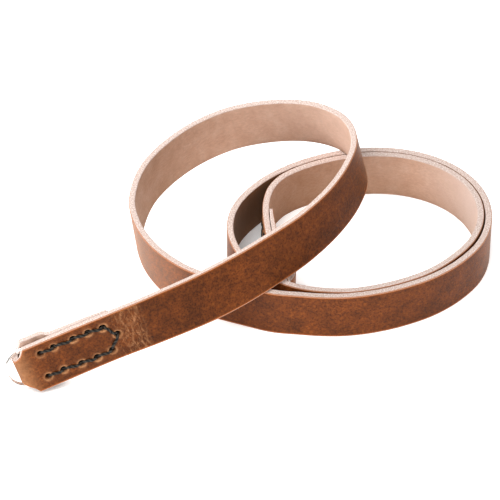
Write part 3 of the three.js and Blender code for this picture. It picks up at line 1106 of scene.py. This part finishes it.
# %% Raw cut edges
edge_leather, tree = new_material("raw_cut_edge_leather")
flat = add_node(tree, "ShaderNodeUVMap", uv_map="laid_flat").outputs[0]
fibres = add_node(
    tree,
    "ShaderNodeTexNoise",
    {"Vector": flat, "Scale": per_mm(0.55), "Detail": 4, "Roughness": 0.7},
).outputs[0]
pale = ramp(
    tree,
    fibres,
    [(0.34, linear("#a78b7f")), (0.5, linear("#cfb9ae")), (0.66, linear("#eae0da"))],
)
dyed = read_value(tree, "dyed")
rim = add_node(tree, "ShaderNodeMix", {0: dyed}, data_type="RGBA")
tree.links.new(pale, rim.inputs[6])
rim.inputs[7].default_value = linear("#a86a40")
fibre_bump = add_node(
    tree,
    "ShaderNodeBump",
    {"Height": fibres, "Strength": 0.4, "Distance": 0.2 * MM},
).outputs[0]
face = add_node(
    tree,
    "ShaderNodeBsdfPrincipled",
    {
        "Base Color": rim.outputs[2],
        "Roughness": 0.9,
        "Normal": fibre_bump,
        "Specular IOR Level": 0.25,
    },
)
add_node(tree, "ShaderNodeOutputMaterial", {"Surface": face.outputs[0]})
print("edge material:", len(tree.nodes), "nodes")

# %% [markdown]
# ### Thread and ring metal
# Waxed polyester thread is nearly black with a soft grey shine on its plies. The rings
# are steel wire with a polished nickel plating, which keeps the default index and shows
# mostly the white room.

# %% Waxed thread
waxed_thread, tree = new_material("braided_waxed_polyester_thread")
flat = add_node(tree, "ShaderNodeUVMap", uv_map="laid_flat").outputs[0]
plies = add_node(
    tree,
    "ShaderNodeTexWave",
    {"Vector": flat, "Scale": per_mm(1.0) / 3, "Distortion": 1.5, "Detail": 1},
    wave_type="BANDS",
    bands_direction="DIAGONAL",
).outputs[0]
tone = ramp(tree, plies, [(0.3, linear("#060504")), (0.8, linear("#38322a"))])
ply_bump = add_node(
    tree, "ShaderNodeBump", {"Height": plies, "Strength": 0.6, "Distance": 0.2 * MM}
).outputs[0]
face = add_node(
    tree,
    "ShaderNodeBsdfPrincipled",
    {"Base Color": tone, "Roughness": 0.65, "Normal": ply_bump, "Specular IOR Level": 0.25},
)
add_node(tree, "ShaderNodeOutputMaterial", {"Surface": face.outputs[0]})

# %% Polished nickel
nickel, tree = new_material("polished_nickel_plated_wire")
place = add_node(tree, "ShaderNodeTexCoord").outputs["Object"]
scuffs = add_node(
    tree,
    "ShaderNodeTexNoise",
    {"Vector": place, "Scale": per_mm(3), "Detail": 4},
).outputs[0]
gloss = add_node(
    tree, "ShaderNodeMapRange", {"Value": scuffs, 1: 0.3, 2: 0.8, 3: 0.1, 4: 0.24}
).outputs[0]
face = add_node(
    tree,
    "ShaderNodeBsdfPrincipled",
    {"Base Color": linear("#e9e4df"), "Metallic": 1.0, "Roughness": gloss},
)
add_node(tree, "ShaderNodeOutputMaterial", {"Surface": face.outputs[0]})
print("thread and nickel are ready")

# %% Give each face its finish
OUTLINE_FACE = section_outline()[4].astype(int)


def dyed_rim(outline, rows):
    """1 on the grain-side corners of the cut edges, fading over the first 0.3 mm."""
    share = (outline[4] == 1) & (outline[2] > 0.5) & (outline[3] > 0.05)
    return np.broadcast_to(share.astype(float), (rows, len(share)))


for material in (grain_leather, edge_leather, flesh_leather):
    strap.data.materials.append(material)
start = OUTLINE_FACE
after = np.roll(OUTLINE_FACE, -1)
finish = np.where(start == after, start, 1)
index = np.concatenate([np.tile(finish, rows - 1), [1, 1]]).astype(np.int32)
strap.data.polygons.foreach_set("material_index", index)
add_values(strap, "dyed", dyed_rim(section_outline(), rows))
for piece in threads:
    piece.data.materials.append(waxed_thread)
for piece in rings:
    piece.data.materials.append(nickel)

# %% Put the pieces on the frame
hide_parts("strap")
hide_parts("ring_a")
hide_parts("ring_b")
for piece in [strap, *threads]:
    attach(piece, "root")
for piece in rings:
    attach(piece, "root")

# %% [markdown]
# ## Floor, light and camera
# A pale floor, a bright even room and two large soft lamps give the shadowless look of a
# catalogue photograph. The paper is painted with light: it glows where it is open to the
# room, so that it burns out to white, and the glow fades out in the narrow places between
# the layers, which keep a painted grey shade. The camera's place was found by matching the
# loops' outline.

# %% Floor
FLOOR_SIZE = 4.0
corner = np.array([(-1, -1, 0), (1, -1, 0), (1, 1, 0), (-1, 1, 0)]) * FLOOR_SIZE / 2
floor_mesh = bpy.data.meshes.new("floor")
floor_mesh.from_pydata(corner.tolist(), [], [(0, 1, 2, 3)])
floor = bpy.data.objects.new("floor", floor_mesh)
bpy.context.scene.collection.objects.link(floor)
paper, tree = new_material("white_backdrop_paper")
# Painted light: the floor's glow follows an occlusion node, bright where open and gone in
# narrow places, which paints shade there.
openness = add_node(
    tree, "ShaderNodeAmbientOcclusion", {"Distance": 0.03}, samples=12
).outputs["AO"]
glow = add_node(
    tree, "ShaderNodeMapRange", {"Value": openness, 1: 0.2, 2: 0.74, 3: 0.0, 4: 0.8}
).outputs[0]
face = add_node(
    tree,
    "ShaderNodeBsdfPrincipled",
    {
        "Base Color": grey(0.9),
        "Roughness": 0.9,
        "Specular IOR Level": 0.1,
        "Emission Color": grey(1.0),
        "Emission Strength": glow,
    },
)
add_node(tree, "ShaderNodeOutputMaterial", {"Surface": face.outputs[0]})
floor_mesh.materials.append(paper)

# %% Light
world = bpy.data.worlds.new("white_room")
world.use_nodes = True
world.node_tree.nodes["Background"].inputs["Color"].default_value = grey(1.0)
world.node_tree.nodes["Background"].inputs["Strength"].default_value = 0.55
bpy.context.scene.world = world
bpy.context.scene.view_settings.view_transform = "Standard"


def soft_lamp(name, place, target, size, watts):
    """A square area lamp that faces its target."""
    data = bpy.data.lights.new(name, "AREA")
    data.shape = "SQUARE"
    data.size = size
    data.energy = watts
    lamp = bpy.data.objects.new(name, data)
    way = np.array(target) - np.array(place)
    lamp.location = place
    flat = np.hypot(way[0], way[1])
    lamp.rotation_euler = (np.arctan2(flat, -way[2]), 0, np.arctan2(-way[0], way[1]))
    bpy.context.scene.collection.objects.link(lamp)
    return lamp


key = soft_lamp("key_softbox", (-0.45, -0.6, 1.5), (0, 0, 0), 1.2, 24)
rim_lamp = soft_lamp("rim_softbox", (-1.2, 0.5, 0.5), (0, 0, 0), 0.7, 12)
print("lamps:", key.name, rim_lamp.name)

# %% Camera
CAMERA_TILT = 42  # degrees above the floor
CAMERA_FAR = 1200  # mm from its target
TARGET = np.array([-42.21, -5.96, 10]) + COIL_CENTRE
SENSOR = 36
FRAME_PIXELS = 500
FOCAL_PIXELS = 3120
tilt = np.radians(CAMERA_TILT)
camera_data = bpy.data.cameras.new("camera")
camera_data.sensor_width = SENSOR
camera_data.lens = FOCAL_PIXELS * SENSOR / FRAME_PIXELS
camera_data.clip_end = 20
camera = bpy.data.objects.new("camera", camera_data)
place = TARGET + CAMERA_FAR * np.array([0, -np.cos(tilt), np.sin(tilt)])
camera.location = place * MM
camera.rotation_euler = (np.pi / 2 - tilt, 0, 0)
bpy.context.scene.collection.objects.link(camera)
bpy.context.scene.camera = camera
